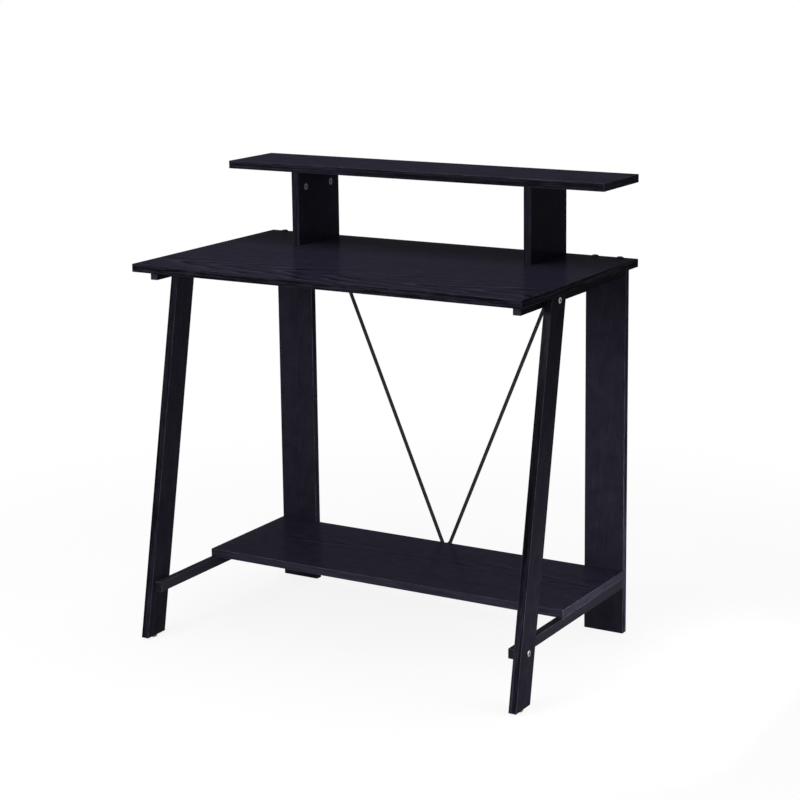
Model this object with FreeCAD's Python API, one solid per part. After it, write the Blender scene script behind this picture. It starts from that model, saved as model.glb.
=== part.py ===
"""Writing desk: a black wood-grain desktop with a raised monitor shelf along its back edge.

Two upright board legs stand at the back and two leaning board legs at the front. Square rails
join them at each side, a narrow shelf lies low between the rear legs, and two thin steel rods
brace the back in a V. All lengths are millimetres. X runs to the right, Y from the front to the
back and Z up. The origin is on the floor, under the middle of the desk's outer box.
"""

import FreeCAD
import Part
import math
import os

V = FreeCAD.Vector

# Overall sizes
desk_width = 800.0
desk_depth = 460.0
desk_height = 715.0
board = 15.0
edge_round = 0.8

# Raised monitor shelf
riser_clear_height = 140.0
riser_shelf_depth = 146.0
riser_back_inset = 1.0
upright_end_inset = 144.0
upright_depth = 144.0

# Legs and rails
side_inset = 18.0
rear_leg_width = 80.0
front_leg_width = 52.0
front_leg_lean = 11.0
foot_lead = 17.0
rail_width = 15.0
rail_height = 18.0
lower_nose_setback = 10.0
upper_nose_setback = 31.0

# Lower shelf
shelf_height = 123.0
shelf_depth = 253.0

# Brace rods: round steel, flattened at both ends
rod_diameter = 7.0
tab_thickness = 3.0
tab_width = 10.0
foot_tab_length = 16.0
head_tab_length = 12.0
rod_foot_spacing = 12.0
rod_head_gap = 38.0

# Clearances
hole_clearance = 0.3
tip_clearance = 1.0
head_recess = 0.4
cut_overrun = 2.0

# Wood screws
screw_shank = 4.0
screw_head = 8.0
screw_head_height = 2.8
screw_point = 4.0
screw_slot_width = 1.1
screw_slot_length = 4.6
screw_slot_depth = 1.6
screw_bite = 10.0
long_screw_length = 45.0
shelf_screw_shares = (0.2, 0.75)
rail_screw_shares = (0.12, 0.8)
riser_screw_shares = (0.25, 0.75)

# Screws through the desktop into the rear legs, under round caps
leg_screw_length = 50.0
leg_screw_edge = 15.0
cap_diameter = 13.0
cap_height = 3.0
cap_round = 2.2
cap_stub_height = 1.5

# Small screws of the brace rods
tab_screw_shank = 3.5
tab_screw_head = 7.0
tab_screw_head_height = 2.2
tab_screw_foot_length = 20.0

# Bolts of the front legs, and the threaded inserts that they enter
bolt_diameter = 6.0
bolt_head_diameter = 12.0
bolt_head_height = 2.6
bolt_head_round = 1.0
bolt_socket = 4.0
bolt_socket_depth = 1.8
insert_diameter = 10.0
insert_wall = 2.0

# Cam fittings and dowels of the monitor shelf
cam_diameter = 15.0
cam_depth = 12.5
cam_drop = 30.0
cam_edge = 28.0
cam_slot_width = 2.0
cam_slot_length = 8.0
cam_slot_depth = 2.4
cam_bolt_thread = 6.0
cam_bolt_bite = 10.5
cam_bolt_body = 7.0
cam_bolt_neck = 4.6
cam_bolt_neck_length = 5.0
cam_bolt_head_length = 3.0
dowel_diameter = 8.0
dowel_length = 30.0
dowel_chamfer = 1.0
dowel_shelf_depth = 10.0

# Round glides nailed under the front legs
glide_diameter = 14.0
glide_height = 4.0
glide_chamfer = 1.0
nail_diameter = 2.0
nail_length = 12.0

# Planes worked out from the sizes
half_width = desk_width / 2
back_y = (desk_depth + foot_lead) / 2
front_y = back_y - desk_depth
top_under = desk_height - board
riser_under = desk_height + riser_clear_height
riser_back_y = back_y - riser_back_inset
riser_front_y = riser_back_y - riser_shelf_depth
upright_outer = half_width - upright_end_inset
upright_inner = upright_outer - board
upright_mid_x = upright_outer - board / 2
upright_inset = (riser_shelf_depth - upright_depth) / 2
upright_front_y = riser_front_y + upright_inset
upright_back_y = riser_back_y - upright_inset
rail_outer = half_width - side_inset
rail_inner = rail_outer - rail_width
rail_mid_x = rail_outer - rail_width / 2
leg_outer = rail_outer + board
rear_leg_front_y = back_y - board
rear_leg_mid_y = back_y - board / 2
shelf_under = shelf_height - board
shelf_mid_z = shelf_height - board / 2
shelf_front_y = rear_leg_front_y - shelf_depth
upper_rail_z = top_under - rail_height
lower_rail_z = shelf_under - rail_height
lean_slope = math.tan(math.radians(front_leg_lean))
leg_section = front_leg_width / math.cos(math.radians(front_leg_lean))

# Depths, lengths and places of the fasteners, worked out from the sizes
head_sink = screw_head_height + head_recess
cap_sink = head_sink + cap_stub_height
rail_screw_length = rail_height - head_sink + screw_bite
tab_screw_head_length = tab_thickness + screw_bite
rod_radius = rod_diameter / 2
rod_y = rear_leg_front_y + hole_clearance + rod_radius
rod_head_x = rail_outer - rear_leg_width - rod_head_gap
cam_z = riser_under - cam_drop

SIDES = {"left": -1, "right": 1}
UP = V(0, 0, 1)
DOWN = V(0, 0, -1)
FORWARD = V(0, -1, 0)


def leg_front_y(z):
    """Y of the front legs' front face at height z: its foot stands foot_lead before the desktop."""
    return front_y - foot_lead + lean_slope * (z - glide_height)


def leg_centre_y(z):
    """Y of the middle of the front legs' board at height z."""
    return leg_front_y(z) + leg_section / 2


lower_rail_front_y = leg_front_y(lower_rail_z + rail_height / 2) + lower_nose_setback
upper_rail_front_y = front_y + upper_nose_setback
upper_rail_length = rear_leg_front_y - upper_rail_front_y
rail_middles = (upper_rail_z + rail_height / 2, lower_rail_z + rail_height / 2)


def span_box(x, y, z):
    """Box between the two values of each pair, in any order."""
    low = [min(pair) for pair in (x, y, z)]
    size = [abs(pair[1] - pair[0]) for pair in (x, y, z)]
    return Part.makeBox(size[0], size[1], size[2], V(*low))


def cylinder(start, axis, radius, length):
    """Round bar from start along axis."""
    return Part.makeCylinder(radius, length, start, axis)


def one_solid(shape):
    """The single solid of a finished cut or union."""
    return shape.removeSplitter().Solids[0]


def soften(shape):
    """Rounds every edge of a board as its edge band is rounded."""
    return shape.makeFillet(edge_round, shape.Edges)


def aimed(shape, seat, axis):
    """Moves a shape made along +Z from the origin to seat, with +Z turned to axis."""
    shape.Placement = FreeCAD.Placement(seat, FreeCAD.Rotation(V(0, 0, 1), axis))
    return shape


def cross_slots(length, width, depth, top):
    """Cutter of two crossed slots that open at height top on the Z axis."""
    long_x = (-length / 2, length / 2)
    long_y = (-width / 2, width / 2)
    z = (top - depth, top + cut_overrun)
    return [span_box(long_x, long_y, z), span_box(long_y, long_x, z)]


def screw(seat, axis, length, shank=screw_shank, head=screw_head, head_height=screw_head_height):
    """Pan-head wood screw: seat is the middle of the head's flat underside, axis points to the tip."""
    body = cylinder(V(0, 0, -head_height), UP, head / 2, head_height)
    body = body.fuse(cylinder(V(0, 0, 0), UP, shank / 2, length - screw_point))
    point = Part.makeCone(shank / 2, shank / 8, screw_point, V(0, 0, length - screw_point), UP)
    slots = cross_slots(screw_slot_length, screw_slot_width, screw_slot_depth, 0)
    turned = [aimed(slot, V(0, 0, -head_height), DOWN) for slot in slots]
    return aimed(one_solid(body.fuse(point).cut(turned)), seat, axis)


def screw_hole(seat, axis, length, shank=screw_shank, head=screw_head, sink=0):
    """Cutter for a screw: its shank hole and, where sink is given, the head's flat counterbore."""
    hole = cylinder(seat, axis, shank / 2 + hole_clearance, length + tip_clearance)
    if not sink:
        return [hole]
    reach = sink + cut_overrun
    return [hole, cylinder(seat - axis * reach, axis, head / 2 + hole_clearance, reach)]


# Places of the screws: each list holds (seat, axis) pairs

def leg_screw_seats(side):
    """Two screws down through the desktop into one rear leg."""
    x_inner = rail_outer - rear_leg_width + leg_screw_edge
    x_outer = rail_outer - leg_screw_edge
    return [(V(side * x, rear_leg_mid_y, desk_height - cap_sink), DOWN) for x in (x_inner, x_outer)]


def riser_screw_seats(side):
    """Two screws up through the desktop into one upright."""
    places = [upright_front_y + share * upright_depth for share in riser_screw_shares]
    return [(V(side * upright_mid_x, y, top_under + head_sink), UP) for y in places]


def upper_rail_screw_seats(side):
    """Two screws up through one upper rail into the desktop."""
    places = [upper_rail_front_y + share * upper_rail_length for share in rail_screw_shares]
    return [(V(side * rail_mid_x, y, upper_rail_z + head_sink), UP) for y in places]


def lower_rail_screw_seats(side):
    """Two screws up through one lower rail into the lower shelf."""
    places = [shelf_front_y + share * shelf_depth for share in shelf_screw_shares]
    return [(V(side * rail_mid_x, y, lower_rail_z + head_sink), UP) for y in places]


def rail_end_screw_seats(side):
    """Two screws through one rear leg, each into the end of a rail."""
    return [(V(side * rail_mid_x, back_y - head_sink, z), FORWARD) for z in rail_middles]


def shelf_back_screw_seats(side):
    """One screw through the middle of a rear leg into the lower shelf's back edge."""
    x = side * (rail_outer - rear_leg_width / 2)
    return [(V(x, back_y - head_sink, shelf_mid_z), FORWARD)]


def rod_foot_screw_seats(side):
    """Screw through a rod's lower tab into the lower shelf's back edge."""
    return [(V(side * rod_foot_spacing / 2, rear_leg_front_y + tab_thickness, shelf_mid_z), FORWARD)]


def rod_head_screw_seats(side):
    """Screw up through a rod's upper tab into the desktop."""
    return [(V(side * rod_head_x, rod_y, top_under - tab_thickness), UP)]


def holes(seats, length, sink=0):
    """Cutters of ordinary wood screws at the seats given."""
    return [tool for seat, axis in seats for tool in screw_hole(seat, axis, length, sink=sink)]


def tab_holes(seats, length):
    """Cutters of the rods' small screws at the seats given."""
    tools = [screw_hole(seat, axis, length, tab_screw_shank, tab_screw_head) for seat, axis in seats]
    return [tool for pair in tools for tool in pair]


# Boards of the top

def desktop():
    """Laminated top, drilled for the rear legs, the uprights, the rails and the rods."""
    shape = soften(span_box((-half_width, half_width), (front_y, back_y), (top_under, desk_height)))
    tools = []
    for side in SIDES.values():
        tools += holes(leg_screw_seats(side), leg_screw_length, cap_sink)
        tools += holes(riser_screw_seats(side), long_screw_length, head_sink)
        tools += holes(upper_rail_screw_seats(side), rail_screw_length)
        tools += tab_holes(rod_head_screw_seats(side), tab_screw_head_length)
        tools.append(dowel_hole(side, desk_height, -1, dowel_shelf_depth))
    return one_solid(shape.cut(tools))


def monitor_shelf():
    """Long raised shelf, with blind holes underneath for the cam bolts and dowels."""
    z = (riser_under, riser_under + board)
    shape = soften(span_box((-half_width, half_width), (riser_front_y, riser_back_y), z))
    tools = []
    for side in SIDES.values():
        for y in cam_places():
            start = V(side * upright_mid_x, y, riser_under - cut_overrun)
            reach = cam_bolt_bite + cut_overrun
            tools.append(cylinder(start, UP, cam_bolt_thread / 2 + hole_clearance, reach))
        tools.append(dowel_hole(side, riser_under, 1, dowel_shelf_depth + tip_clearance))
    return one_solid(shape.cut(tools))


def cam_places():
    """Y of the two cam fittings of an upright."""
    return (upright_front_y + cam_edge, upright_back_y - cam_edge)


def dowel_y():
    """Y of the dowels, in the middle of each upright."""
    return (upright_front_y + upright_back_y) / 2


def dowel_hole(side, z_joint, way, depth):
    """Dowel hole that runs from a joint's plane up (way 1) or down (way -1)."""
    start = V(side * upright_mid_x, dowel_y(), z_joint - way * cut_overrun)
    return cylinder(start, UP * way, dowel_diameter / 2 + hole_clearance, depth + cut_overrun)


def riser_upright(side):
    """Board that carries the monitor shelf, drilled for its cams, bolts, dowels and screws."""
    x = (side * upright_inner, side * upright_outer)
    shape = soften(span_box(x, (upright_front_y, upright_back_y), (desk_height, riser_under)))
    tools = holes(riser_screw_seats(side), long_screw_length)
    for y in cam_places():
        mouth = V(side * (upright_inner - cut_overrun), y, cam_z)
        bore_radius = cam_diameter / 2 + hole_clearance
        tools.append(cylinder(mouth, V(side, 0, 0), bore_radius, cam_depth + cut_overrun))
        edge = V(side * upright_mid_x, y, cam_z)
        reach = cam_drop + cut_overrun
        tools.append(cylinder(edge, UP, cam_bolt_body / 2 + hole_clearance, reach))
    upright_bore = dowel_length - dowel_shelf_depth
    tools.append(dowel_hole(side, riser_under, -1, upright_bore))
    tools.append(dowel_hole(side, desk_height, 1, upright_bore + tip_clearance))
    return one_solid(shape.cut(tools))


# Fittings of the monitor shelf

def cam_lock(side, y):
    """Round cam: crossed slots on its face, and a channel in its rim that takes the bolt's head."""
    body = cylinder(V(0, 0, 0), UP, cam_diameter / 2, cam_depth)
    slots = cross_slots(cam_slot_length, cam_slot_width, cam_slot_depth, cam_depth)
    half_channel = cam_bolt_body / 2 + hole_clearance
    seat_of_bolt = cam_depth - board / 2
    channel_z = (seat_of_bolt - half_channel, seat_of_bolt + half_channel)
    channel = span_box((-half_channel, half_channel), (-tip_clearance, cam_diameter), channel_z)
    solid = one_solid(body.cut(slots + [channel]))
    channel_up_face_inward = FreeCAD.Rotation(V(0, -side, 0), UP, V(-side, 0, 0), "YZX")
    seat = V(side * (upright_inner + cam_depth), y, cam_z)
    solid.Placement = FreeCAD.Placement(seat, channel_up_face_inward)
    return solid


def cam_locks():
    """The four cams, in the uprights' inner faces."""
    return [cam_lock(side, y) for side in SIDES.values() for y in cam_places()]


def cam_bolt(side, y):
    """Bolt screwed up into the monitor shelf, whose head the cam draws down."""
    joint = V(side * upright_mid_x, y, riser_under)
    body_length = cam_drop - cam_bolt_neck_length - cam_bolt_head_length
    neck_z = V(0, 0, -body_length)
    head_z = V(0, 0, -body_length - cam_bolt_neck_length)
    shape = cylinder(joint, UP, cam_bolt_thread / 2, cam_bolt_bite)
    shape = shape.fuse(cylinder(joint, DOWN, cam_bolt_body / 2, body_length))
    shape = shape.fuse(cylinder(joint + neck_z, DOWN, cam_bolt_neck / 2, cam_bolt_neck_length))
    shape = shape.fuse(cylinder(joint + head_z, DOWN, cam_bolt_body / 2, cam_bolt_head_length))
    return one_solid(shape)


def cam_bolts():
    """The four bolts, standing in the uprights' top edges."""
    return [cam_bolt(side, y) for side in SIDES.values() for y in cam_places()]


def riser_dowels():
    """One wooden dowel at the top and one at the foot of each upright."""
    solids = []
    for side in SIDES.values():
        upper_z = riser_under - dowel_length + dowel_shelf_depth
        for z in (upper_z, desk_height - dowel_shelf_depth):
            start = V(side * upright_mid_x, dowel_y(), z)
            dowel = cylinder(start, UP, dowel_diameter / 2, dowel_length)
            rims = [edge for edge in dowel.Edges if edge.isClosed() and len(edge.Vertexes) == 1]
            solids.append(dowel.makeChamfer(dowel_chamfer, rims))
    return solids


# Legs and rails

def rear_leg(side):
    """Upright board that faces the front, flush with the desktop's back edge."""
    x = (side * (rail_outer - rear_leg_width), side * rail_outer)
    shape = soften(span_box(x, (rear_leg_front_y, back_y), (0, top_under)))
    tools = holes(leg_screw_seats(side), leg_screw_length)
    tools += holes(rail_end_screw_seats(side), long_screw_length, head_sink)
    tools += holes(shelf_back_screw_seats(side), long_screw_length, head_sink)
    return one_solid(shape.cut(tools))


def front_leg(side):
    """Leaning board, cut level at both ends, outside the rails that it is bolted to."""
    x = side * rail_outer
    corners = []
    for z in (glide_height, top_under):
        corners += [V(x, leg_front_y(z), z), V(x, leg_front_y(z) + leg_section, z)]
    order = (corners[0], corners[1], corners[3], corners[2], corners[0])
    face = Part.Face(Part.makePolygon(order))
    shape = soften(face.extrude(V(side * board, 0, 0)))
    tools = []
    for z in rail_middles:
        start = V(side * (rail_outer - cut_overrun), leg_centre_y(z), z)
        reach = board + cut_overrun + cut_overrun
        tools.append(cylinder(start, V(side, 0, 0), bolt_diameter / 2 + hole_clearance, reach))
    nail_start = V(side * (rail_outer + board / 2), leg_centre_y(glide_height), glide_height - cut_overrun)
    nail_reach = nail_length + cut_overrun + tip_clearance
    tools.append(cylinder(nail_start, UP, nail_diameter / 2 + hole_clearance, nail_reach))
    return one_solid(shape.cut(tools))


def rail(side, nose_y, z_low, screw_seats):
    """Square rail from its nose, past the front leg's inner face, to the rear leg."""
    x = (side * rail_inner, side * rail_outer)
    shape = soften(span_box(x, (nose_y, rear_leg_front_y), (z_low, z_low + rail_height)))
    middle = z_low + rail_height / 2
    insert_mouth = V(side * (rail_outer + cut_overrun), leg_centre_y(middle), middle)
    insert_reach = rail_width - insert_wall + cut_overrun
    tools = [cylinder(insert_mouth, V(-side, 0, 0), insert_diameter / 2 + hole_clearance, insert_reach)]
    tools += holes(screw_seats, rail_screw_length, head_sink)
    tools += holes(rail_end_screw_seats(side), long_screw_length)
    return one_solid(shape.cut(tools))


def upper_rail(side):
    """Rail under the desktop, its nose set back behind the desktop's front edge."""
    return rail(side, upper_rail_front_y, upper_rail_z, upper_rail_screw_seats(side))


def lower_rail(side):
    """Rail under the lower shelf, its nose just behind the front leg's front face."""
    return rail(side, lower_rail_front_y, lower_rail_z, lower_rail_screw_seats(side))


def lower_shelf():
    """Narrow shelf on the lower rails, its back edge against the rear legs."""
    y = (shelf_front_y, rear_leg_front_y)
    shape = soften(span_box((-rail_outer, rail_outer), y, (shelf_under, shelf_height)))
    tools = []
    for side in SIDES.values():
        tools += holes(lower_rail_screw_seats(side), rail_screw_length)
        tools += holes(shelf_back_screw_seats(side), long_screw_length)
        tools += tab_holes(rod_foot_screw_seats(side), tab_screw_foot_length)
    return one_solid(shape.cut(tools))


# Brace rods

def tab_outline(start, way, normal, length):
    """Flat tab with round ends, from start along way, tab_thickness thick along normal."""
    across = way.cross(normal)
    across.normalize()
    half = across * (tab_width / 2)
    end = start + way * length
    nose = end + way * (tab_width / 2)
    tail = start - way * (tab_width / 2)
    outline = [
        Part.makeLine(start + half, end + half),
        Part.Arc(end + half, nose, end - half).toShape(),
        Part.makeLine(end - half, start - half),
        Part.Arc(start - half, tail, start + half).toShape(),
    ]
    return Part.Face(Part.Wire(outline)).extrude(normal * tab_thickness)


def brace_rod(side):
    """Steel rod whose lower tab lies on the shelf's back edge and whose upper tab lies under the top."""
    foot = V(side * rod_foot_spacing / 2, rod_y, shelf_mid_z)
    bend = V(side * (rod_head_x - head_tab_length), rod_y, top_under - tab_thickness / 2)
    way = bend - foot
    way.normalize()
    rod_start = foot + way * (foot_tab_length - tab_width / 2)
    shape = cylinder(rod_start, way, rod_radius, (bend - rod_start).Length + rod_diameter)
    above = span_box((-half_width, half_width), (front_y, back_y), (bend.z, desk_height))
    shape = shape.cut(above)
    foot_start = V(foot.x, rear_leg_front_y, foot.z)
    shape = shape.fuse(tab_outline(foot_start, way, V(0, 1, 0), foot_tab_length))
    head_start = V(bend.x, rod_y, top_under)
    shape = shape.fuse(tab_outline(head_start, V(side, 0, 0), DOWN, head_tab_length))
    tools = tab_holes(rod_foot_screw_seats(side), tab_screw_foot_length)
    tools += tab_holes(rod_head_screw_seats(side), tab_screw_head_length)
    return one_solid(shape.cut(tools))


def brace_screws():
    """Four small screws, one through each tab of the rods."""
    sizes = (tab_screw_shank, tab_screw_head, tab_screw_head_height)
    solids = []
    for side in SIDES.values():
        solids += [screw(seat, axis, tab_screw_foot_length, *sizes)
                   for seat, axis in rod_foot_screw_seats(side)]
        solids += [screw(seat, axis, tab_screw_head_length, *sizes)
                   for seat, axis in rod_head_screw_seats(side)]
    return solids


# Screws, caps, bolts and glides

def screw_group(places, length):
    """Screws of one kind on both sides of the desk."""
    return [screw(seat, axis, length) for side in SIDES.values() for seat, axis in places(side)]


def screw_cap(seat):
    """Low round cap on the desktop, with a stub down to the screw's head."""
    top = V(seat.x, seat.y, desk_height)
    dome = cylinder(top, UP, cap_diameter / 2, cap_height)
    rim = [edge for edge in dome.Edges if edge.BoundBox.ZMin > desk_height + cap_height / 2]
    dome = dome.makeFillet(cap_round, rim)
    return one_solid(dome.fuse(cylinder(top, DOWN, screw_head / 2 - hole_clearance, cap_stub_height)))


def screw_caps():
    """The four caps over the rear legs' screws."""
    return [screw_cap(seat) for side in SIDES.values() for seat, axis in leg_screw_seats(side)]


def bolt_places():
    """Side and point of each front-leg bolt, on the leg's outer face."""
    return [(side, V(side * leg_outer, leg_centre_y(z), z)) for side in SIDES.values() for z in rail_middles]


def hexagon_bar(across_flats, top, depth):
    """Cutter of a hexagon socket that opens at height top on the Z axis."""
    corner = across_flats / math.sqrt(3)
    turns = [math.radians(60 * step) for step in range(6)]
    points = [V(corner * math.cos(turn), corner * math.sin(turn), top - depth) for turn in turns]
    face = Part.Face(Part.makePolygon(points + [points[0]]))
    return face.extrude(V(0, 0, depth + cut_overrun))


def leg_bolt(side, seat):
    """Low-head socket bolt from the front leg's outer face into the rail's insert."""
    length = board + rail_width - insert_wall - tip_clearance
    head = cylinder(V(0, 0, 0), UP, bolt_head_diameter / 2, bolt_head_height)
    rim = [edge for edge in head.Edges if edge.BoundBox.ZMin > bolt_head_height / 2]
    head = head.makeFillet(bolt_head_round, rim)
    shape = head.fuse(cylinder(V(0, 0, 0), DOWN, bolt_diameter / 2, length))
    shape = shape.cut(hexagon_bar(bolt_socket, bolt_head_height, bolt_socket_depth))
    return aimed(one_solid(shape), seat, V(side, 0, 0))


def leg_bolts():
    """The four bright bolts that show on the front legs."""
    return [leg_bolt(side, seat) for side, seat in bolt_places()]


def rail_inserts():
    """Threaded sleeves let into the rails' outer faces."""
    solids = []
    for side, seat in bolt_places():
        start = V(side * rail_outer, seat.y, seat.z)
        inward = V(-side, 0, 0)
        sleeve = cylinder(start, inward, insert_diameter / 2, rail_width - insert_wall)
        bore = cylinder(start, inward, bolt_diameter / 2 + hole_clearance, rail_width)
        solids.append(one_solid(sleeve.cut(bore)))
    return solids


def front_glide(side):
    """Round glide with its nail, under one front leg."""
    x = side * (rail_outer + board / 2)
    y = leg_centre_y(glide_height)
    disc = cylinder(V(x, y, 0), UP, glide_diameter / 2, glide_height)
    rim = [edge for edge in disc.Edges if edge.BoundBox.ZMax < glide_height / 2]
    disc = disc.makeChamfer(glide_chamfer, rim)
    nail = cylinder(V(x, y, glide_height), UP, nail_diameter / 2, nail_length)
    return one_solid(disc.fuse(nail))


def front_glides():
    """The two glides."""
    return [front_glide(side) for side in SIDES.values()]


# Every node of the desk, by name

def all_nodes():
    """Each named piece, or group of like fasteners, with its list of solids."""
    nodes = {
        "desktop": [desktop()],
        "monitor_shelf": [monitor_shelf()],
        "lower_shelf": [lower_shelf()],
        "cam_locks": cam_locks(),
        "cam_bolts": cam_bolts(),
        "riser_dowels": riser_dowels(),
        "riser_screws": screw_group(riser_screw_seats, long_screw_length),
        "rear_leg_screws": screw_group(leg_screw_seats, leg_screw_length),
        "screw_caps": screw_caps(),
        "upper_rail_screws": screw_group(upper_rail_screw_seats, rail_screw_length),
        "lower_rail_screws": screw_group(lower_rail_screw_seats, rail_screw_length),
        "rail_end_screws": screw_group(rail_end_screw_seats, long_screw_length),
        "shelf_back_screws": screw_group(shelf_back_screw_seats, long_screw_length),
        "leg_bolts": leg_bolts(),
        "rail_inserts": rail_inserts(),
        "brace_screws": brace_screws(),
        "front_glides": front_glides(),
    }
    paired = {
        "riser_upright": riser_upright,
        "rear_leg": rear_leg,
        "front_leg": front_leg,
        "upper_rail": upper_rail,
        "lower_rail": lower_rail,
        "brace_rod": brace_rod,
    }
    for name, build in paired.items():
        for side_name, side in SIDES.items():
            nodes[name + "_" + side_name] = [build(side)]
    return nodes


os.makedirs("parts", exist_ok=True)
for node, solids in all_nodes().items():
    shape = solids[0] if len(solids) == 1 else Part.makeCompound(solids)
    shape.exportStep("parts/" + node + ".step")
    box = shape.BoundBox
    extent = "%.1f x %.1f x %.1f" % (box.XLength, box.YLength, box.ZLength)
    print(node, len(solids), "valid" if shape.isValid() else "NOT VALID", extent)
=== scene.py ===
"""A writing desk in black wood-grain board, with a raised monitor shelf along its back edge.

Metres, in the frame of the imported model: X to the right, Y from the front to the back, Z up, with
the origin on the floor under the middle of the desk.
"""

import math

import bpy
import numpy as np
from mathutils import Matrix, Vector


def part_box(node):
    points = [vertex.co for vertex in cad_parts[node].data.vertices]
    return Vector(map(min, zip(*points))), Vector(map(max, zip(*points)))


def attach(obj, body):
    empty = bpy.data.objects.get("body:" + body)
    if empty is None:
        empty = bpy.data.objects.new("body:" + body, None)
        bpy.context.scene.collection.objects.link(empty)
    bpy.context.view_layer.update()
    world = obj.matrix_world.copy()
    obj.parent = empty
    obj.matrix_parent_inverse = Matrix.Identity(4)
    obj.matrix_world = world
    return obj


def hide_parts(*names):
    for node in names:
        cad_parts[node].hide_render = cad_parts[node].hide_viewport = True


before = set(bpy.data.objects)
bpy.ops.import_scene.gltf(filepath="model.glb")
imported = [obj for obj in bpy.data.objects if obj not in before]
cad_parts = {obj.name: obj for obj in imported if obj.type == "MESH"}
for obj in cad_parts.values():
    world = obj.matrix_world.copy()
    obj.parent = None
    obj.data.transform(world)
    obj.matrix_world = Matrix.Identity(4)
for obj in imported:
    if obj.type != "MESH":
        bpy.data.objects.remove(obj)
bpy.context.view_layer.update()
mm = 0.001


# The view: a long lens from the desk's right front, half a metre above its monitor shelf, with a
# small lens shift that keeps the legs nearly parallel.
view_yaw, view_pitch, view_roll = (math.radians(angle) for angle in (30.806, 11.188, -0.722))
view_place = Vector((1.93313, -3.18139, 1.34327))
camera_data = bpy.data.cameras.new("camera")
camera_data.sensor_width = 36.0
camera_data.lens = 93.40
camera_data.shift_y = -0.1
camera = bpy.data.objects.new("camera", camera_data)
bpy.context.scene.collection.objects.link(camera)
bpy.context.scene.camera = camera
level = math.cos(view_pitch)
view_back = Vector((math.sin(view_yaw) * level, -math.cos(view_yaw) * level, math.sin(view_pitch)))
view_right = Vector((math.cos(view_yaw), math.sin(view_yaw), 0.0))
turn = Matrix((view_right, view_back.cross(view_right), view_back)).transposed()
camera.matrix_world = (Matrix.Translation(view_place) @ turn.to_4x4()
                       @ Matrix.Rotation(view_roll, 4, "Z"))
bpy.context.scene.view_settings.view_transform = "Standard"


# The studio: a pale floor with the desk's soft shadow, an even pale room, a large soft lamp
# overhead, others at the front left, the right and the back, a wide panel in front of the desk,
# and a small one by the floor at its right.
def new_tree(material):
    """Empties a material's or world's node tree and gives it back."""
    material.use_nodes = True
    material.node_tree.nodes.clear()
    return material.node_tree


def put(tree, kind, ins=(), out=0, **settings):
    """Adds a node, sets its fields, fills its inputs with numbers or links, and gives an output.

    ins is a sequence for the first inputs, or a dict by socket name or number. With out set to
    None the whole node is given."""
    node = tree.nodes.new(kind)
    for field, value in settings.items():
        setattr(node, field, value)
    pairs = ins.items() if isinstance(ins, dict) else enumerate(ins)
    for key, value in pairs:
        if isinstance(value, bpy.types.NodeSocket):
            tree.links.new(value, node.inputs[key])
        else:
            node.inputs[key].default_value = value
    return node if out is None else node.outputs[out]


def tree_of(ins):
    """The node tree of the first link among a node's inputs."""
    return next(value.id_data for value in ins if isinstance(value, bpy.types.NodeSocket))


def maths(operation, *ins):
    """A Math node on numbers or links."""
    return put(tree_of(ins), "ShaderNodeMath", ins, operation=operation)


def ramp(value, low, high, to_low=0.0, to_high=1.0):
    """Smooth step of value from low to high, mapped to to_low .. to_high."""
    return put(value.id_data, "ShaderNodeMapRange", (value, low, high, to_low, to_high),
               interpolation_type="SMOOTHSTEP")


def seen_or_mirrored(tree):
    """1 for rays that the camera, a mirror or a clear body sends, 0 for rays that only light."""
    path = put(tree, "ShaderNodeLightPath", out=None).outputs
    seen = maths("MAXIMUM", path["Is Camera Ray"], path["Is Glossy Ray"])
    return maths("MAXIMUM", seen, path["Is Transmission Ray"])


plain_white = (1.0, 1.0, 1.0, 1.0)
room_light, room_strength = (0.95, 0.96, 1.0, 1.0), 0.2
room = bpy.data.worlds.new("pale_room")
bpy.context.scene.world = room
tree = new_tree(room)
lit_room = put(tree, "ShaderNodeBackground", (room_light, room_strength))
seen_room = put(tree, "ShaderNodeBackground", (plain_white, 1.0))
surround = put(tree, "ShaderNodeMixShader", (seen_or_mirrored(tree), lit_room, seen_room))
put(tree, "ShaderNodeOutputWorld", (surround,), out=None)

# Seen or mirrored, the floor is 0.86 white round the desk, where its shadow falls, and all white
# from 1.7 m off the middle. Rays that only light meet plain grey paint.
floor_half, floor_grey = 40.0, (0.9, 0.9, 0.9, 1.0)
shaded_to, white_from, shaded_white = 0.6, 1.7, 0.86
floor_corners = [(x * floor_half, y * floor_half, 0.0) for x, y in ((-1, -1), (1, -1), (1, 1), (-1, 1))]
floor_mesh = bpy.data.meshes.new("studio_floor")
floor_mesh.from_pydata(floor_corners, [], [(0, 1, 2, 3)])
studio_floor = bpy.data.objects.new("studio_floor", floor_mesh)
bpy.context.scene.collection.objects.link(studio_floor)
pale_floor = bpy.data.materials.new("pale_floor")
tree = new_tree(pale_floor)
paint = put(tree, "ShaderNodeBsdfDiffuse", (floor_grey,))
glow = put(tree, "ShaderNodeEmission", (plain_white, 1.0))
spot = put(tree, "ShaderNodeTexCoord", out="Object")
off_middle = put(tree, "ShaderNodeVectorMath", (spot,), out="Value", operation="LENGTH")
white_share = ramp(off_middle, shaded_to, white_from, shaded_white, 1.0)
glow_share = maths("MULTIPLY", seen_or_mirrored(tree), white_share)
floor_surface = put(tree, "ShaderNodeMixShader", (glow_share, paint, glow))
put(tree, "ShaderNodeOutputMaterial", (floor_surface,), out=None)
floor_mesh.materials.append(pale_floor)

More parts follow.
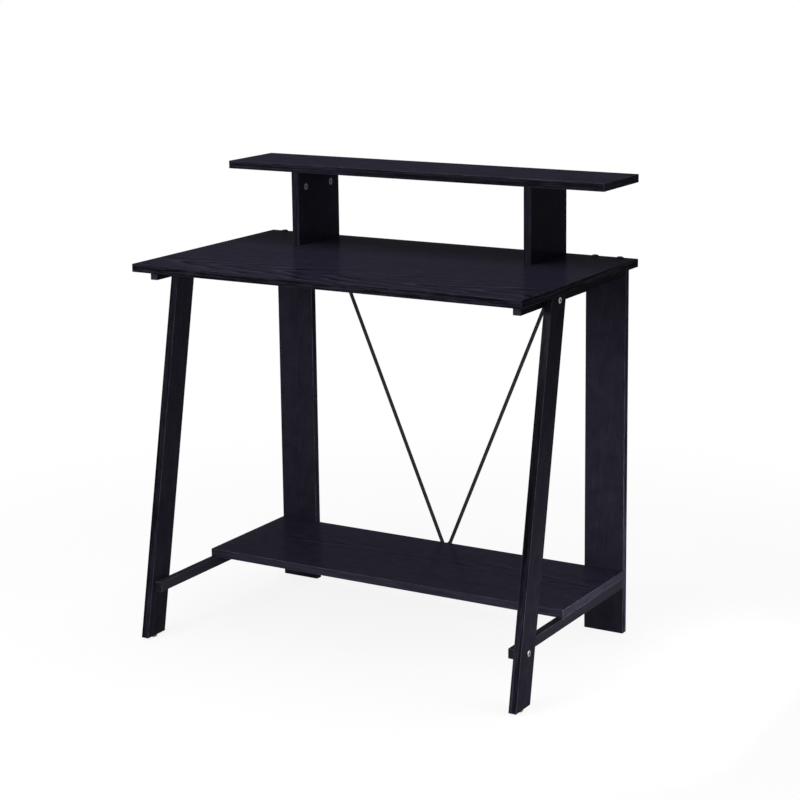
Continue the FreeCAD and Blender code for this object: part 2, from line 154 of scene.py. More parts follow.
# Each lamp's name, place, the spot that it faces, its width and height, watts, and spread in degrees.
lamps = (("overhead_softbox", (-0.2, -0.1, 2.7), (-0.1, -0.1, 0.7), (1.5, 1.0), 33.0, 180.0),
         ("key_softbox", (-1.9, -2.7, 2.9), (0.0, 0.0, 0.55), (2.2, 2.2), 26.0, 180.0),
         ("side_softbox", (2.9, -0.6, 0.9), (0.0, 0.0, 0.55), (1.4, 1.4), 3.3, 180.0),
         ("back_strip", (0.2, 1.9, 2.4), (0.0, 0.0, 0.55), (1.6, 1.6), 5.0, 180.0),
         ("front_panel", (-0.3, -2.4, 1.25), (0.0, 0.0, 0.35), (1.6, 0.7), 45.0, 180.0),
         ("floor_panel", (0.85, 0.03, 0.18), (0.39, 0.03, 0.12), (0.7, 0.14), 2.2, 120.0))
for lamp_name, place, aim, size, power, spread in lamps:
    lamp_data = bpy.data.lights.new(lamp_name, "AREA")
    lamp_data.shape = "RECTANGLE"
    lamp_data.size, lamp_data.size_y = size
    lamp_data.energy = power
    lamp_data.spread = math.radians(spread)
    lamp = bpy.data.objects.new(lamp_name, lamp_data)
    bpy.context.scene.collection.objects.link(lamp)
    lamp.location = place
    lamp.rotation_euler = (Vector(aim) - Vector(place)).to_track_quat("-Z", "Y").to_euler()
    lamp.visible_camera = False


# Lower shelf: 15 mm particle board in black oak-grain foil, edge-banded all round, the grain
# along its length. It rests on the lower rails with its back edge against the rear legs.
def new_group(name, takes, gives):
    """A shader node group and its inputs; takes and gives map socket names to socket kinds."""
    group = bpy.data.node_groups.new(name, "ShaderNodeTree")
    for in_out, sockets in (("INPUT", takes), ("OUTPUT", gives)):
        for title, kind in sockets.items():
            group.interface.new_socket(title, in_out=in_out, socket_type="NodeSocket" + kind)
    return group, put(group, "NodeGroupInput", out=None).outputs


def use_group(tree, group, ins):
    """Places a node group with its inputs filled, and gives its outputs."""
    return put(tree, "ShaderNodeGroup", ins, out=None, node_tree=group).outputs


def vectors(operation, *ins):
    """A Vector Math node on vectors or links."""
    return put(tree_of(ins), "ShaderNodeVectorMath", ins, operation=operation)


def axes_of(vector):
    """X, Y and Z of a vector."""
    return put(vector.id_data, "ShaderNodeSeparateXYZ", (vector,), out=None).outputs


def normal_axes(tree):
    """X, Y and Z of the surface's normal."""
    return axes_of(put(tree, "ShaderNodeNewGeometry", out="Normal"))


def noise(coords, scale, shift=(0.0, 0.0, 0.0), detail=2.0, roughness=0.5):
    """Noise from 0 to 1 on coordinates times scale, which is one number or three, plus shift."""
    scales = scale if isinstance(scale, tuple) else (scale, scale, scale)
    stretched = vectors("MULTIPLY_ADD", coords, scales, shift)
    return put(coords.id_data, "ShaderNodeTexNoise",
               {"Vector": stretched, "Scale": 1.0, "Detail": detail, "Roughness": roughness})


def swing(pattern, share, base):
    """The base plus share times a pattern's swing about its middle, a half."""
    return maths("MULTIPLY_ADD", maths("SUBTRACT", pattern, 0.5), share, base)


def distance(one, other):
    """The square root of two numbers' squares added up."""
    return maths("SQRT", maths("MULTIPLY_ADD", one, one, maths("MULTIPLY", other, other)))


def blend(kind, share, first, second, **settings):
    """Mixes two numbers (FLOAT), vectors (VECTOR) or colours (RGBA) by share."""
    socket, out = {"FLOAT": (2, 0), "VECTOR": (4, 1), "RGBA": (6, 2)}[kind]
    return put(share.id_data, "ShaderNodeMix", {0: share, socket: first, socket + 1: second}, out=out,
               data_type=kind, **settings)


def scaled(colour, share):
    """A colour made darker or lighter by a share."""
    return put(colour.id_data, "ShaderNodeVectorMath", {"Vector": colour, "Scale": share},
               operation="SCALE")


def laid_over(colour, tone, mask, share):
    """A colour with a tone laid over it where the mask is, by share."""
    return blend("RGBA", maths("MULTIPLY", mask, share), colour, tone)


def make_oak_grain():
    """Flat-sawn oak: growth rings are cylinders round a tilted pith under the board.

    Along the grain is X, across it Y, through the board Z. The ring number is the distance from
    the pith over the ring width, bent by slow noise. Late wood is a dark line at each ring's end
    and early wood a light one at its start. Both fade from four to ten ring widths off the pith's
    line, where the cut runs straight across the rings. Pores are thin noise stretched 30 to 1,
    crowded where a ring starts, so that they draw pale broken lines. Streaks and fibre are a slow
    and a fine noise stretched 30 to 1."""
    group, take = new_group(
        "oak_grain", {"Vector": "Vector", "Pith": "Vector", "Tilt": "Float", "Ring Width": "Float"},
        {"Rings": "Float", "Pores": "Float", "Streaks": "Float", "Fibre": "Float"})
    coords = take["Vector"]
    bend = noise(coords, (2.6, 11.0, 11.0), detail=1.5)
    off_x, off_y, off_z = axes_of(vectors("SUBTRACT", coords, take["Pith"]))
    across = swing(bend, 0.034, off_y)
    depth = maths("MULTIPLY_ADD", off_x, take["Tilt"], off_z)
    radius = distance(across, depth)
    wander = noise(coords, (4.5, 34.0, 34.0), (3.1, 0.0, 0.0), detail=3.0, roughness=0.4)
    number = maths("MULTIPLY_ADD", wander, 2.0, maths("DIVIDE", radius, take["Ring Width"]))
    part = maths("FRACT", number)
    off_line = maths("DIVIDE", maths("ABSOLUTE", across), take["Ring Width"])
    arch = ramp(off_line, 4.0, 10.0, 1.0, 0.12)
    late = maths("MULTIPLY", ramp(part, 0.62, 0.9), ramp(part, 1.0, 0.95))
    early = maths("MULTIPLY", ramp(part, 0.34, 0.1), ramp(part, 0.0, 0.1))
    rings = maths("MULTIPLY", maths("MULTIPLY_ADD", early, -0.9, late), arch)
    crowded = maths("MULTIPLY", early, arch)
    limit = maths("SUBTRACT", 0.69, maths("MULTIPLY", crowded, 0.21))
    pores = noise(coords, (75.0, 2300.0, 2300.0), (0.0, 5.0, 1.7), detail=1.0)
    pores = maths("MULTIPLY", maths("SUBTRACT", pores, limit), 12.0)
    pores = put(group, "ShaderNodeClamp", (pores, 0.0, 1.0))
    streaks = noise(coords, (3.6, 110.0, 110.0), (1.3, 0.0, 8.0), detail=3.0, roughness=0.62)
    fibre = noise(coords, (30.0, 900.0, 900.0), (0.0, 2.0, 4.0))
    put(group, "NodeGroupOutput", (rings, pores, streaks, fibre), out=None)
    return group


def make_board_edges():
    """Marks a board's arrises and the joint of its edge band.

    The distances to the nearest face plane are taken along each axis. On the board's surface the
    least is nought and the middle one is the distance to the nearest arris. The arris mark, a painted
    highlight along the edge with wear, reaches in from it by a distance that noise varies, and the
    joint is a thin line beside it."""
    highlight_and_wear_least, highlight_and_wear_most = 0.5 * mm, 1.25 * mm
    joint_in, joint_half_width, joint_core = 1.35 * mm, 0.16 * mm, 0.05 * mm
    group, take = new_group("board_edges", {"Vector": "Vector", "Low": "Vector", "High": "Vector"},
                            {"Arris": "Float", "Joint": "Float"})
    coords = take["Vector"]
    from_low = vectors("SUBTRACT", coords, take["Low"])
    from_high = vectors("SUBTRACT", take["High"], coords)
    x, y, z = axes_of(vectors("MINIMUM", from_low, from_high))
    middle = maths("MAXIMUM", maths("MINIMUM", x, y),
                   maths("MINIMUM", maths("MAXIMUM", x, y), z))
    highlight_and_wear_noise = noise(coords, 38.0, detail=4.0, roughness=0.7)
    reach = ramp(highlight_and_wear_noise, 0.3, 0.75, highlight_and_wear_least, highlight_and_wear_most)
    arris = maths("SUBTRACT", 1.0, maths("DIVIDE", middle, reach))
    arris = put(group, "ShaderNodeClamp", (arris, 0.0, 1.0))
    highlight_and_wear_patches = noise(coords, 9.0, (0.0, 3.0, 0.0))
    arris = maths("MULTIPLY", arris, ramp(highlight_and_wear_patches, 0.38, 0.62, 0.35, 1.0))
    off_line = maths("ABSOLUTE", maths("SUBTRACT", middle, joint_in))
    joint = ramp(off_line, joint_half_width, joint_core)
    put(group, "NodeGroupOutput", (arris, joint), out=None)
    return group


def make_handling():
    """Wiped and dusty places: broad soft smears, and fine specks that lie on upward faces."""
    group, take = new_group("handling", {"Vector": "Vector"}, {"Smear": "Float", "Dust": "Float"})
    coords = take["Vector"]
    smear = noise(coords, (7.0, 11.0, 7.0), (4.0, 1.0, 0.0), detail=4.0, roughness=0.6)
    specks = noise(coords, 900.0, detail=0.0)
    facing_up = ramp(normal_axes(group)["Z"], 0.6, 0.95)
    dust = maths("MULTIPLY", ramp(specks, 0.7, 0.82), facing_up)
    dust = maths("MULTIPLY", dust, ramp(smear, 0.4, 0.65))
    put(group, "NodeGroupOutput", (smear, dust), out=None)
    return group


oak_grain, board_edges, handling = make_oak_grain(), make_board_edges(), make_handling()
foil_dark, foil_light = (0.0050, 0.0046, 0.0078, 1.0), (0.0222, 0.0208, 0.0326, 1.0)
# The first tone lightens the arrises, a painted highlight along them with wear; the second darkens the
# band's joint.
arris_highlight_and_wear_tone, joint_tone = (0.105, 0.101, 0.128, 1.0), (0.0026, 0.0024, 0.0036, 1.0)
dust_tone = (0.085, 0.085, 0.10, 1.0)
# For each run of the grain, the axis through the board, and the axes along, across and through it.
thin_axis = {"X": "Z", "Z": "Y", "Z_side": "X"}
axis_orders = {"X": "XYZ", "Y": "YXZ", "Z": "ZXY", "Z_side": "ZYX"}
# On an end of a board that runs along X, the band's grain runs along Y.
end_order = "YZX"


def reordered(coords, order):
    """Coordinates with their axes in another order."""
    axes = axes_of(coords)
    return put(coords.id_data, "ShaderNodeCombineXYZ", [axes[axis] for axis in order])


def new_finish(name):
    """A new material, its empty node tree, and the place on the object that its patterns read."""
    finish = bpy.data.materials.new(name)
    tree = new_tree(finish)
    return finish, tree, put(tree, "ShaderNodeTexCoord", out="Object")


def set_surface(tree, height, strength, distance, sockets):
    """Fills the shader's sockets, bumps its normal by height, and joins it to the output."""
    bumped = put(tree, "ShaderNodeBump", {"Strength": strength, "Distance": distance, "Height": height})
    shader = put(tree, "ShaderNodeBsdfPrincipled", {**sockets, "Normal": bumped})
    put(tree, "ShaderNodeOutputMaterial", (shader,), out=None)


def face_print(place, grain, streak, figure, fine):
    """The print on a board's two faces, as a tone from dark to light.

    It is a middle plus each of streaks, rings, pores, fibre and soft clouds times its own share."""
    rings, pores, streaks, fibre = grain
    cloud = noise(place, (42.0, 55.0, 42.0), (0.0, 0.0, 6.0), detail=3.0)
    tone = swing(streaks, 1.6 * streak, 0.45)
    tone = maths("MULTIPLY_ADD", rings, -0.6 * figure, tone)
    tone = swing(fibre, fine, tone)
    tone = maths("MULTIPLY_ADD", pores, 1.2 * figure, tone)
    return swing(cloud, 0.5, tone)


def band_print(along, mottle):
    """The coarser print on an edge band: patches stretched 9 to 1, and lines stretched 50 to 1."""
    patches = noise(along, (26.0, 230.0, 230.0), (0.7, 0.0, 2.0), detail=4.0, roughness=0.65)
    lines = noise(along, (6.0, 300.0, 300.0), (0.0, 4.0, 1.0))
    tone = swing(patches, 4.0 * mottle, 0.35)
    return maths("MULTIPLY_ADD", ramp(lines, 0.36, 0.64, -0.5, 0.7), mottle, tone)


def foil_board(name, run, low, high, pith, tilt=0.05, ring=7.5, lean=0.0, brightness=1.0, band=1.0,
               end=1.0, blue=1.0, gloss=0.02, blur=0.2, streak=0.3, figure=0.2, fine=0.5, mottle=0.8,
               arris_highlight_and_wear=0.5, band_painted_light=(0.0, 0.0)):
    """Black oak-grain foil on a board from low to high, with its grain along run.

    The thin faces carry an edge band. brightness is painted light and shade: each board's light
    level, set for the light that falls on it. band is the band's level on the long faces and end
    on the ends of a board along X, painted light as well, and on upright boards scuff adds painted
    light to the band towards the floor and under the top. pith is a point on the rings' axis as
    along, across and through the board, ring their width in millimetres, and mottle the band's
    contrast. lean turns a board's own upright axis back by that many radians about X. Pores are sunk
    and dull, smears dull the gloss, and worn lightens the arrises with a painted highlight and wear."""
    foil, tree, place = new_finish(name)
    normal = normal_axes(tree)
    if lean:
        place = put(tree, "ShaderNodeVectorRotate", {"Vector": place, "Angle": lean},
                    rotation_type="X_AXIS")
    along = reordered(place, axis_orders[run])
    on_band = maths("LESS_THAN", maths("ABSOLUTE", normal[thin_axis[run]]), 0.6)
    if run == "X":
        on_end = maths("GREATER_THAN", maths("ABSOLUTE", normal["X"]), 0.7)
        along = blend("VECTOR", on_end, along, reordered(place, end_order))
        level = blend("FLOAT", on_end, band * brightness, end * brightness)
    else:
        # Painted light: the band grows lighter towards the floor and under the top.
        height = axes_of(place)["Z"]
        level = ramp(height, 0.3, 0.02, band * brightness, band * brightness * (1.0 + band_painted_light[0]))
        level = maths("MULTIPLY", level, ramp(height, 0.5, 0.66, 1.0, 1.0 + band_painted_light[1]))
    grain = use_group(tree, oak_grain,
                      {"Vector": along, "Pith": pith, "Tilt": tilt, "Ring Width": ring * mm})
    rings, pores, fibre = grain["Rings"], grain["Pores"], grain["Fibre"]
    arris, joint = use_group(tree, board_edges, {"Vector": place, "Low": low, "High": high})
    smear, dust = use_group(tree, handling, (place,))
    tone = blend("FLOAT", on_band, face_print(place, grain, streak, figure, fine),
                 band_print(along, mottle))
    tone = put(tree, "ShaderNodeClamp", (tone, 0.0, 1.6))
    colour = blend("RGBA", tone, foil_dark, foil_light, clamp_factor=False)
    tint = blend("VECTOR", on_band, (1.0, 1.0, blue), (1.0, 1.0, 0.98))
    colour = vectors("MULTIPLY", colour, tint)
    # Painted light and shade: the faces and the band are scaled by the board's own light level.
    colour = scaled(colour, blend("FLOAT", on_band, brightness, level))
    colour = laid_over(colour, joint_tone, joint, 0.55)
    # The arrises are lightened: a painted highlight along them, with wear.
    colour = laid_over(colour, arris_highlight_and_wear_tone, arris, arris_highlight_and_wear)
    colour = laid_over(colour, dust_tone, dust, 0.2)
    rough = maths("MULTIPLY_ADD", pores, 0.12, maths("MULTIPLY_ADD", smear, 0.16, 0.40))
    coat = maths("MULTIPLY", maths("MULTIPLY_ADD", smear, -0.5 * gloss, 1.25 * gloss),
                 maths("MULTIPLY_ADD", pores, -0.6, 1.0))
    relief = maths("MULTIPLY_ADD", pores, -1.0, maths("MULTIPLY", fibre, 0.35))
    relief = maths("MULTIPLY_ADD", rings, -0.2, relief)
    set_surface(tree, relief, 0.35, 0.12 * mm,
                {"Base Color": colour, "Roughness": rough, "Specular IOR Level": 0.0,
                 "Coat Weight": coat, "Coat Roughness": blur})
    return foil


def finish_node(node, material):
    """Gives a kept solid its finish in every slot."""
    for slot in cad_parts[node].material_slots:
        slot.material = material


shelf_low, shelf_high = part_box("lower_shelf")
# Painted light: the shelf under the top is made lighter, and its band and ends set, for the light that
# falls on them.
finish_node("lower_shelf", foil_board("shelf_foil", "X", shelf_low, shelf_high, (0.05, 0.12, 0.08),
                                      tilt=0.03, brightness=1.55, streak=0.16, figure=0.3, fine=0.4,
                                      band=1.12, end=1.05, blue=1.1, gloss=0.03, blur=0.27, mottle=0.2,
                                      arris_highlight_and_wear=1.0))


# Lower rails: two slim sticks of planed poplar in black lacquer, run from behind each front leg's
# nose to the rear leg. The shelf lies on them.
rail_dark, rail_light = (0.0072, 0.0069, 0.0096, 1.0), (0.0182, 0.0174, 0.0243, 1.0)


def lacquered_rail(name, low, high, pith, brightness, end):
    """Black lacquer on planed wood with its grain along Y: faint straight fibre, and arrises lightened
    by a painted highlight and wear.

    brightness is the light level of the long faces, and end that of the two cut ends: painted light
    and shade, set for the light that falls on each rail."""
    lacquer, tree, place = new_finish(name)
    rings, pores, streaks, fibre = use_group(
        tree, oak_grain, {"Vector": reordered(place, axis_orders["Y"]), "Pith": pith,
                          "Tilt": 0.02, "Ring Width": 4.0 * mm})
    arris = use_group(tree, board_edges, {"Vector": place, "Low": low, "High": high})["Arris"]
    smear, dust = use_group(tree, handling, (place,))
    tone = maths("MULTIPLY_ADD", streaks, 0.7, maths("MULTIPLY", fibre, 0.3))
    tone = maths("MULTIPLY_ADD", rings, -0.15, tone)
    facing_end = maths("ABSOLUTE", normal_axes(tree)["Y"])
    # Painted light and shade: the long faces and the cut ends take the rail's own light level.
    colour = scaled(blend("RGBA", tone, rail_dark, rail_light),
                    ramp(facing_end, 0.6, 0.9, brightness, end))
    colour = laid_over(colour, arris_highlight_and_wear_tone, arris, 0.7)
    colour = laid_over(colour, dust_tone, dust, 0.3)
    set_surface(tree, maths("MULTIPLY_ADD", pores, -0.5, fibre), 0.3, 0.1 * mm,
                {"Base Color": colour, "Roughness": maths("MULTIPLY_ADD", smear, 0.2, 0.42),
                 "Specular IOR Level": 0.0, "Coat Weight": 0.02, "Coat Roughness": 0.22})
    return lacquer


def finish_rail(rail_name, brightness, end):
    """Lacquers one rail, with its pith outside the stick."""
    low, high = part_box(rail_name)
    middle = (low + high) / 2
    pith = (0.0, middle.x + 0.03, middle.z - 0.02)
    finish_node(rail_name, lacquered_rail(rail_name + "_lacquer", low, high, pith, brightness, end))


# Painted light and shade: each lower rail's faces and ends take a light level of their own.
finish_rail("lower_rail_left", 1.85, 0.8)
finish_rail("lower_rail_right", 1.0, 1.15)


# Shelf screws: four pan-head wood screws in zinced steel, driven up through the lower rails, their
# heads sunk in counterbores. A cross recess is pressed in the head and a thread rolled on the shank.
screw_head_radius, screw_head_height, screw_shank_radius = 4.0 * mm, 2.8 * mm, 2.0 * mm
screw_pitch, head_sink, long_screw = 1.8 * mm, 3.2 * mm, 45.0 * mm
screw_neck, screw_thread_start, screw_point = 3.0 * mm, 3.2 * mm, 5.0 * mm


def step_up(value, low, high):
    """Smooth step from 0 at low to 1 at high."""
    share = np.clip((value - low) / (high - low), 0.0, 1.0)
    return share * share * (3.0 - 2.0 * share)


def cross_recess(x, y, length, width, depth):
    """Depth of two crossed slots with soft walls, at places x, y on a head."""
    soft = 0.12 * width

    def inside(value, size):
        return 1.0 - step_up(np.abs(value), size / 2 - soft, size / 2 + soft)

    return depth * np.maximum(inside(x, length) * inside(y, width), inside(y, length) * inside(x, width))


def full_turn(around):
    """The angles of equal steps round a circle."""
    return np.linspace(0.0, 2.0 * math.pi, around, endpoint=False)


def round_shell(radius, height, around):
    """Rings about Z: radius and height are arrays of ring by step, or of ring alone."""
    turn = full_turn(around)
    radius, height = (np.broadcast_to(v[:, None] if v.ndim == 1 else v, (len(v), around))
                      for v in (np.asarray(radius, float), np.asarray(height, float)))
    return np.stack([radius * np.cos(turn), radius * np.sin(turn), height], -1)


def aimed(rings, seat, axis):
    """Moves rings made about Z from the origin to seat, with Z turned to axis."""
    way = Vector(axis).normalized()
    basis = np.array(way.to_track_quat("Z", "Y").to_matrix())
    return rings @ basis.T + np.array(seat)


def thread_rings(start, stop, core, crest, pitch, point, around):
    """Rolled thread: a ridge from the core's radius to the crest's that climbs one pitch a turn.

    It fades in over the first turn, and closes to a point over the length point."""
    height = np.arange(start, stop, pitch / 8)
    turn = np.linspace(0.0, 1.0, around, endpoint=False)
    phase = (height[:, None] / pitch - turn[None, :]) % 1.0
    tooth = np.clip(1.0 - np.abs(phase - 0.5) / 0.3, 0.0, 1.0)
    taper = np.clip((stop - height) / point, 0.04, 1.0)[:, None] if point else 1.0
    begun = step_up(height, start, start + pitch)[:, None]
    return round_shell((core + (crest - core) * tooth * begun) * taper, height, around)


def wood_screw(seat, axis, length, head=screw_head_radius, tall=screw_head_height,
               shank=screw_shank_radius):
    """Pan-head screw: a low dome with a cross recess, a plain neck and a thread to a sharp point.

    The head's height is its rim plus the rest times 1 less the 2.6th power of the radius share."""
    around = 48
    share = np.concatenate([np.linspace(0.03, 0.62, 16), np.linspace(0.68, 1.0, 7)])
    radius = np.broadcast_to((share * head)[:, None], (len(share), around))
    turn = full_turn(around)
    dome = (0.42 * tall + 0.58 * tall * (1.0 - share ** 2.6))[:, None]
    recess = cross_recess(radius * np.cos(turn), radius * np.sin(turn),
                          1.15 * head, 0.30 * head, 0.62 * tall)
    top = round_shell(radius, -(dome - recess), around)
    under = round_shell([head, 0.97 * head, shank, shank], [-0.06 * tall, 0.0, 0.0, screw_neck], around)
    thread = thread_rings(screw_thread_start, length, 0.68 * shank, shank, screw_pitch, screw_point, around)
    return aimed(np.concatenate([top, under, thread]), seat, axis)


def shell_faces(rings, around, loop, start):
    """Quads between neighbouring rings, with a fan to a pole at each end unless the rings loop.

    start is the number of the shell's first point, and the two poles come after its last ring."""
    ring, here = np.meshgrid(np.arange(rings if loop else rings - 1), np.arange(around), indexing="ij")
    beyond, above = (here + 1) % around, (ring + 1) % rings
    quads = np.stack([ring * around + here, ring * around + beyond,
                      above * around + beyond, above * around + here], -1).reshape(-1, 4)
    if loop:
        return (start + quads).tolist()
    here, last_ring, pole = np.arange(around), (rings - 1) * around, np.full(around, rings * around)
    beyond = (here + 1) % around
    first_fan = np.stack([pole, beyond, here], -1)
    last_fan = np.stack([last_ring + here, last_ring + beyond, pole + 1], -1)
    return (start + quads).tolist() + (start + first_fan).tolist() + (start + last_fan).tolist()


def shell_piece(name, shells, finish, node, loop=False, crease=32.0):
    """One piece of like shells in place of a node. A shell is an array of ring, step round it, xyz."""
    points, faces, start = [], [], 0
    for rings in shells:
        flat = rings.reshape(-1, 3)
        if not loop:
            flat = np.vstack([flat, rings[0].mean(0), rings[-1].mean(0)])
        faces += shell_faces(*rings.shape[:2], loop, start)
        points.append(flat)
        start += len(flat)
    mesh = bpy.data.meshes.new(name)
    mesh.from_pydata(np.vstack(points).tolist(), [], faces)
    mesh.shade_smooth()
    mesh.set_sharp_from_angle(angle=math.radians(crease))
    mesh.materials.append(finish)
    piece = bpy.data.objects.new(name, mesh)
    bpy.context.scene.collection.objects.link(piece)
    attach(piece, "root")
    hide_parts(node)


def shade(colour, share):
    """A colour times share, with full alpha."""
    return tuple(share * part for part in colour) + (1.0,)


def plated_metal(name, colour, rough, blotch, painted_shade=None):
    """Plated steel: blotchy sheen and fine scratches, longest along Y.

    clean, where given, makes a painted shade: the share of brightness left, from the place."""
    plate, tree, place = new_finish(name)
    cloud = noise(place, 260.0, detail=3.0)
    scratch = noise(place, (6000.0, 900.0, 3000.0), (2.0, 0.0, 1.0))
    tone = blend("RGBA", cloud, shade(colour, 1.0 - blotch), shade(colour, 1.0))
    # Painted shade: the tone is darkened by the share given for each place.
    if painted_shade:
        tone = scaled(tone, painted_shade(place))
    sheen = maths("MULTIPLY_ADD", scratch, 0.12, rough - 0.15)
    sheen = maths("MULTIPLY_ADD", cloud, 0.18, sheen)
    set_surface(tree, scratch, 0.2, 0.03 * mm, {"Base Color": tone, "Metallic": 1.0, "Roughness": sheen})
    return plate


zinc_plate = plated_metal("zinc_plate", (0.60, 0.61, 0.63), 0.36, 0.3)


def screws_piece(name, seats, axis, length, node):
    """One piece of zinced wood screws in place of a node, a screw from each seat along the axis."""
    shell_piece(name, [wood_screw(seat, axis, length) for seat in seats], zinc_plate, node)


def middle_of(low, high):
    """X, Y and Z of a box's middle."""
    return [(start + end) / 2 for start, end in zip(low, high)]


def screw_rows(x, z, low, high, shares):
    """Seats on both sides of the desk at x and z, at shares of the way along Y from low to high."""
    return [(side * x, low.y + share * (high.y - low.y), z) for side in sides for share in shares]


sides, up, down, forward = (-1, 1), (0, 0, 1), (0, 0, -1), (0, -1, 0)
rail_height, screw_bite = 18.0 * mm, 10.0 * mm
rail_screw_length = rail_height - head_sink + screw_bite
rail_low, rail_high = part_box("lower_rail_right")
rail_mid_x, _, lower_rail_mid_z = middle_of(rail_low, rail_high)
shelf_screw_seats = screw_rows(rail_mid_x, rail_low.z + head_sink, shelf_low, shelf_high, (0.2, 0.75))
screws_piece("shelf_screws", shelf_screw_seats, up, rail_screw_length, "lower_rail_screws")


# Rear legs: two upright foiled boards that face the front, grain from floor to top, their feet
# cut square and bare. Each is screwed to the two rails' ends and to the shelf's back edge.
# Painted light: each rear leg takes a light level of its own.
for leg_name, pith_x, leg_painted_light in (("rear_leg_left", -0.31, 1.0), ("rear_leg_right", 0.36, 1.15)):
    leg_low, leg_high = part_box(leg_name)
    finish_node(leg_name, foil_board(leg_name + "_foil", "Z", leg_low, leg_high, (0.2, pith_x, 0.16),
                                     tilt=0.04, ring=6.5, brightness=leg_painted_light, streak=0.14, figure=0.1,
                                     fine=0.5, arris_highlight_and_wear=0.9))

rear_low, rear_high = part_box("rear_leg_right")
rear_mid_x, rear_mid_y, _ = middle_of(rear_low, rear_high)
rear_screw_y = rear_high.y - head_sink
shelf_mid_z = middle_of(shelf_low, shelf_high)[2]
upper_low, upper_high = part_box("upper_rail_right")
rail_mid_zs = (lower_rail_mid_z, middle_of(upper_low, upper_high)[2])
rail_end_seats = [(side * rail_mid_x, rear_screw_y, z) for side in sides for z in rail_mid_zs]
screws_piece("rail_end_wood_screws", rail_end_seats, forward, long_screw, "rail_end_screws")
shelf_edge_seats = [(side * rear_mid_x, rear_screw_y, shelf_mid_z) for side in sides]
screws_piece("shelf_edge_screws", shelf_edge_seats, forward, long_screw, "shelf_back_screws")


# Front legs: two leaning foiled boards outside the rails, cut level at top and foot, each held by
# two bolts. A leg's own long axis leans back from its foot.
leg_lean, leg_width = math.radians(11.0), 52.0 * mm
front_leg_low, front_leg_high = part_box("front_leg_right")
leg_middle = (front_leg_low + front_leg_high) / 2
# The foil's box runs past both cut ends, so that its edge marks keep to the long arrises.
foil_from_z, foil_to_z = -0.1, 0.9


def leg_middle_y(z):
    """Y of the middle of the front legs' board at height z."""
    return leg_middle.y + math.tan(leg_lean) * (z - leg_middle.z)


own_front = leg_middle_y(0.0) * math.cos(leg_lean) - leg_width / 2
# Painted light: each front leg takes a light level of its own, and its front band is lightened towards the
# floor and under the top.
for leg_name, side, leg_painted_light, leg_band, leg_band_painted_light in (("front_leg_left", -1, 1.05, 0.45, (0.4, 0.2)),
                                                      ("front_leg_right", 1, 0.8, 0.42, (2.2, 1.6))):
    leg_low, leg_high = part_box(leg_name)
    own_low = Vector((leg_low.x, own_front, foil_from_z))
    own_high = Vector((leg_high.x, own_front + leg_width, foil_to_z))
    finish_node(leg_name, foil_board(leg_name + "_foil", "Z_side", own_low, own_high,
                                     (0.1, own_front + 0.04, side * 0.33), tilt=0.04, ring=6.0,
                                     lean=leg_lean, brightness=leg_painted_light, band=leg_band, streak=0.15,
                                     figure=0.12, fine=0.5, blue=0.96, mottle=0.65, arris_highlight_and_wear=0.6,
                                     band_painted_light=leg_band_painted_light))


# Leg bolts: nickel-plated, low round heads with a hexagon socket, one at each rail. They run in
# zinc threaded sleeves let into the rails.
bolt_length, bolt_core, bolt_crest, bolt_pitch = 27.0 * mm, 2.5 * mm, 3.0 * mm, 1.0 * mm
bolt_thread_start, bolt_point, socket_half_flat = 1.8 * mm, 1.2 * mm, 2.0 * mm
sleeve_length, sleeve_core, sleeve_crest, sleeve_pitch = 13.0 * mm, 4.4 * mm, 5.0 * mm, 2.5 * mm
# Painted shade on the bolt heads: dark up to the first height over the leg's face, full bright from the
# second.
crown_shade_to, crown_lit_from = 0.9 * mm, 2.0 * mm


def socket_bolt(seat, axis):
    """Low round head with a hexagon socket, over a threaded shank that runs back from the seat.

    The rings pass from the socket's floor up its six walls, where the radius is half the width
    across flats over the cosine of the angle from the nearest flat, and blend to round."""
    around = 72
    flat_angle = (full_turn(around) + math.pi / 6) % (math.pi / 3) - math.pi / 6
    hexagon = socket_half_flat / np.cos(flat_angle)
    socket_radius = np.stack([0.5 * hexagon, 0.93 * hexagon, hexagon, hexagon, hexagon + 0.12 * mm])
    socket_z = np.array([0.65, 0.80, 0.90, 2.35, 2.55]) * mm
    crown_radius = np.array([2.9, 3.6, 4.4, 5.1, 5.6, 5.9, 6.0, 6.0, 5.9, 3.0, 3.0]) * mm
    crown_z = np.array([2.60, 2.58, 2.45, 2.16, 1.76, 1.26, 0.75, 0.12, 0.0, 0.0, -1.5]) * mm
    thread = thread_rings(bolt_thread_start, bolt_length, bolt_core, bolt_crest, bolt_pitch,
                          bolt_point, around)
    backwards = thread * np.array([1.0, 1.0, -1.0])
    head = [round_shell(socket_radius, socket_z, around), round_shell(crown_radius, crown_z, around)]
    return aimed(np.concatenate(head + [backwards]), seat, axis)[:, ::-1]


def threaded_sleeve(seat, axis):
    """Sleeve with a coarse outside thread: its wall's outline runs out along the axis and back inside."""
    around = 40
    mouth_radius, lip, thread_from, thread_to = 4.7 * mm, 0.3 * mm, 0.6 * mm, sleeve_length - 0.4 * mm
    mouth = round_shell([mouth_radius], [0.0], around)
    outside = thread_rings(thread_from, thread_to, sleeve_core, sleeve_crest, sleeve_pitch, 0.0, around)
    inside = round_shell(np.array([3.5, 3.3, 3.3, 3.5]) * mm,
                         [sleeve_length, sleeve_length - lip, lip, 0.0], around)
    return aimed(np.concatenate([mouth, outside, inside]), seat, axis)


